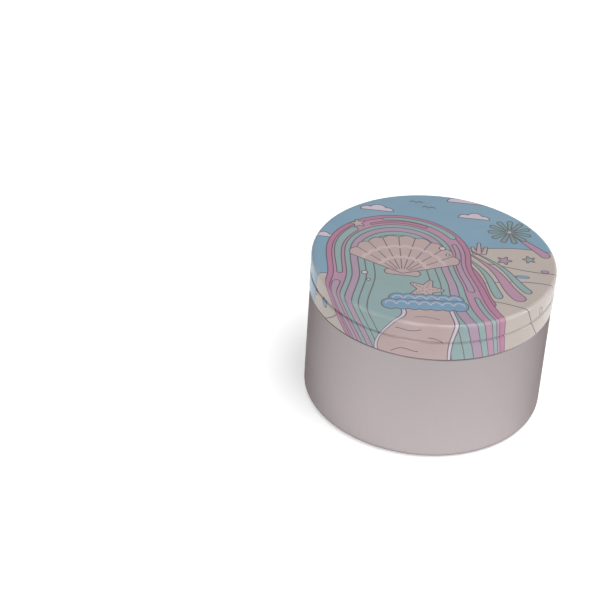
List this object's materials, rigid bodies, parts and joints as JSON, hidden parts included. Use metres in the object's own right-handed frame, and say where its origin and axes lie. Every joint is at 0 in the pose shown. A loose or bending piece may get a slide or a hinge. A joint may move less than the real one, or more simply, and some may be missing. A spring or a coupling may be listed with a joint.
{
  "type": "candle tin",
  "caption": "Round seamless drawn metal tin with a necked-in mouth and a flush slip lid that lifts off, for poured candles.",
  "frame": {"origin": "on the tin's axis, at the plane of the ring that the tin stands on", "axes": "+Z along the tin's axis, from the base towards the lid; -Y towards the front of the print"},
  "size_m": [0.077, 0.077, 0.05],
  "materials": {
    "satin_tinplate": "satin, fine vertical sheen",
    "printed_tinplate": "lithographed all over, satin varnish"
  },
  "bodies": {
    "tin_body": {"tin_body": "satin_tinplate"},
    "lid": {"lid": "printed_tinplate"}
  },
  "joints": [
    {"name": "lid_lift", "type": "slide", "parent": "tin_body", "child": "lid", "axis": [0, 0, 1], "range_m": [0, 0.06]}
  ]
}
